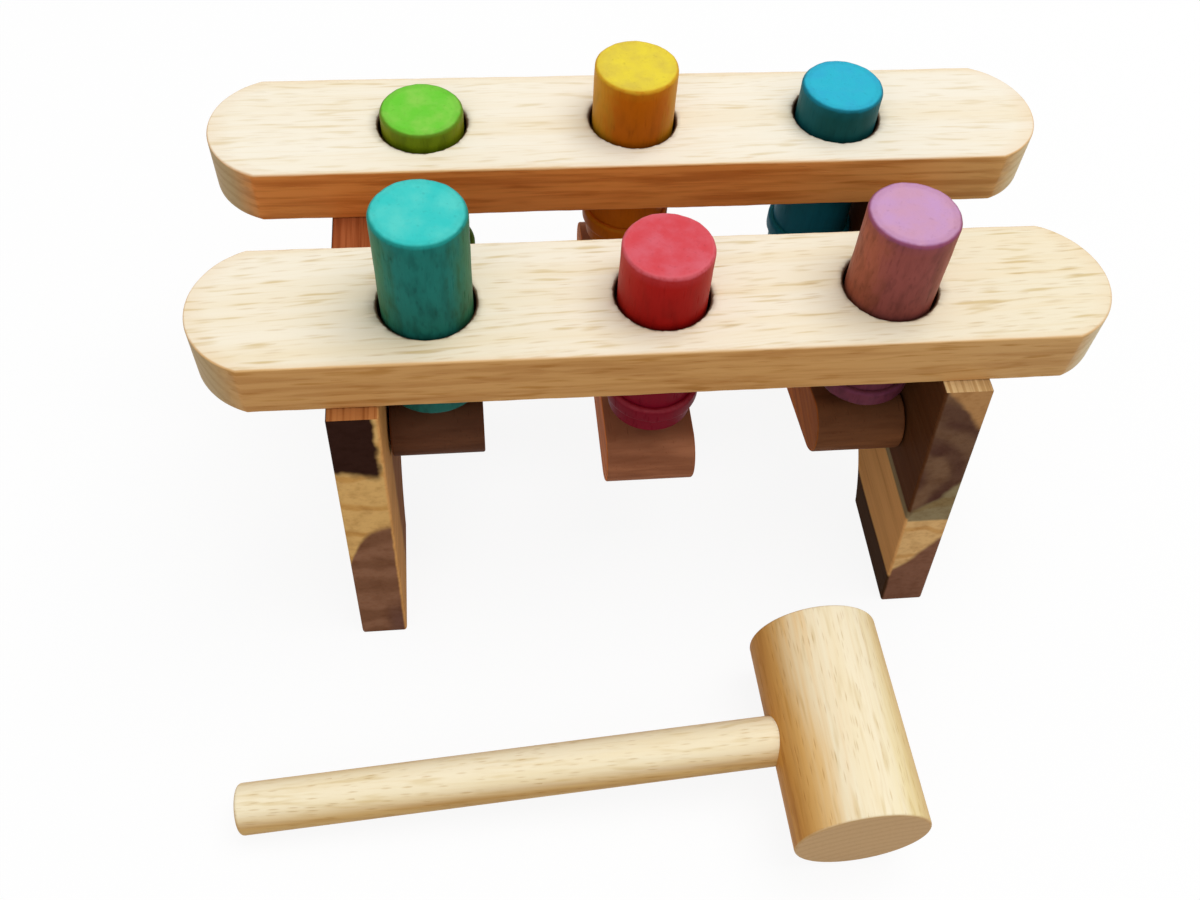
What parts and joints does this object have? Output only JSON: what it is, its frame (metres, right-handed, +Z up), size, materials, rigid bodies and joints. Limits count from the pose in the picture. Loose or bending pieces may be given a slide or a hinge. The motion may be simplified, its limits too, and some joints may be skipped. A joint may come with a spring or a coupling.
{
  "type": "peg pounding bench",
  "caption": "Wooden pounding bench: dyed pegs in two drilled rails stand on see-saw rockers, so a peg struck down by the mallet lifts its partner.",
  "frame": {"origin": "on the table, at the middle of the box round the bench and its mallet", "axes": "+X along the rails to the right, +Y away from the mallet towards the rear rail, +Z up"},
  "size_m": [0.285, 0.271, 0.1543],
  "materials": {
    "rail_wood": "oiled pale hardwood",
    "panel_wood": "oiled two-tone hardwood",
    "rocker_wood": "oiled brown hardwood",
    "axle_wood": "plain dowel",
    "teal_dye": "dyed wood",
    "red_dye": "dyed wood",
    "purple_dye": "dyed wood",
    "green_dye": "dyed wood",
    "yellow_dye": "dyed wood",
    "blue_dye": "dyed wood",
    "mallet_wood": "oiled pale hardwood"
  },
  "bodies": {
    "frame": {"front_rail": "rail_wood", "rear_rail": "rail_wood", "left_side_panel": "panel_wood", "right_side_panel": "panel_wood", "rocker_axle": "axle_wood", "left_spacer": "axle_wood", "right_spacer": "axle_wood", "front_rail_dowels": "axle_wood", "rear_rail_dowels": "axle_wood"},
    "left_rocker": {"left_rocker": "rocker_wood"},
    "middle_rocker": {"middle_rocker": "rocker_wood"},
    "right_rocker": {"right_rocker": "rocker_wood"},
    "front_left_peg": {"front_left_peg": "teal_dye", "front_left_ring": "teal_dye"},
    "front_middle_peg": {"front_middle_peg": "red_dye", "front_middle_ring": "red_dye"},
    "front_right_peg": {"front_right_peg": "purple_dye", "front_right_ring": "purple_dye"},
    "rear_left_peg": {"rear_left_peg": "green_dye", "rear_left_ring": "green_dye"},
    "rear_middle_peg": {"rear_middle_peg": "yellow_dye", "rear_middle_ring": "yellow_dye"},
    "rear_right_peg": {"rear_right_peg": "blue_dye", "rear_right_ring": "blue_dye"},
    "mallet": {"mallet_head": "mallet_wood", "mallet_handle": "mallet_wood"}
  },
  "joints": [
    {"name": "left_rocker_tilt", "type": "hinge", "parent": "frame", "child": "left_rocker", "pos_m": [-0.0715, 0.04822, 0.05045], "axis": [-1, 0, 0], "range_deg": [-43.5, 4.5]},
    {"name": "middle_rocker_tilt", "type": "hinge", "parent": "frame", "child": "middle_rocker", "pos_m": [0, 0.04822, 0.05045], "axis": [-1, 0, 0], "range_deg": [-23.3, 24.7]},
    {"name": "right_rocker_tilt", "type": "hinge", "parent": "frame", "child": "right_rocker", "pos_m": [0.0715, 0.04822, 0.05045], "axis": [-1, 0, 0], "range_deg": [-35.4, 12.6]},
    {"name": "front_left_peg_slide", "type": "slide", "parent": "frame", "child": "front_left_peg", "axis": [0, 0, 1], "range_m": [-0.0331, 0.00343]},
    {"name": "rear_left_peg_slide", "type": "slide", "parent": "frame", "child": "rear_left_peg", "axis": [0, 0, 1], "range_m": [-0.00343, 0.0331]},
    {"name": "front_middle_peg_slide", "type": "slide", "parent": "frame", "child": "front_middle_peg", "axis": [0, 0, 1], "range_m": [-0.01773, 0.0188]},
    {"name": "rear_middle_peg_slide", "type": "slide", "parent": "frame", "child": "rear_middle_peg", "axis": [0, 0, 1], "range_m": [-0.0188, 0.01773]},
    {"name": "front_right_peg_slide", "type": "slide", "parent": "frame", "child": "front_right_peg", "axis": [0, 0, 1], "range_m": [-0.02694, 0.00959]},
    {"name": "rear_right_peg_slide", "type": "slide", "parent": "frame", "child": "rear_right_peg", "axis": [0, 0, 1], "range_m": [-0.00959, 0.02694]},
    {"name": "mallet_lift", "type": "slide", "parent": "frame", "child": "mallet", "axis": [0, 0, 1], "range_m": [0, 0.12]}
  ],
  "couplings": [
    {"joint": "front_left_peg_slide", "follows": "left_rocker_tilt", "m_per_rad": 0.043579},
    {"joint": "rear_left_peg_slide", "follows": "left_rocker_tilt", "m_per_rad": -0.043579},
    {"joint": "front_middle_peg_slide", "follows": "middle_rocker_tilt", "m_per_rad": 0.043579},
    {"joint": "rear_middle_peg_slide", "follows": "middle_rocker_tilt", "m_per_rad": -0.043579},
    {"joint": "front_right_peg_slide", "follows": "right_rocker_tilt", "m_per_rad": 0.043579},
    {"joint": "rear_right_peg_slide", "follows": "right_rocker_tilt", "m_per_rad": -0.043579}
  ]
}
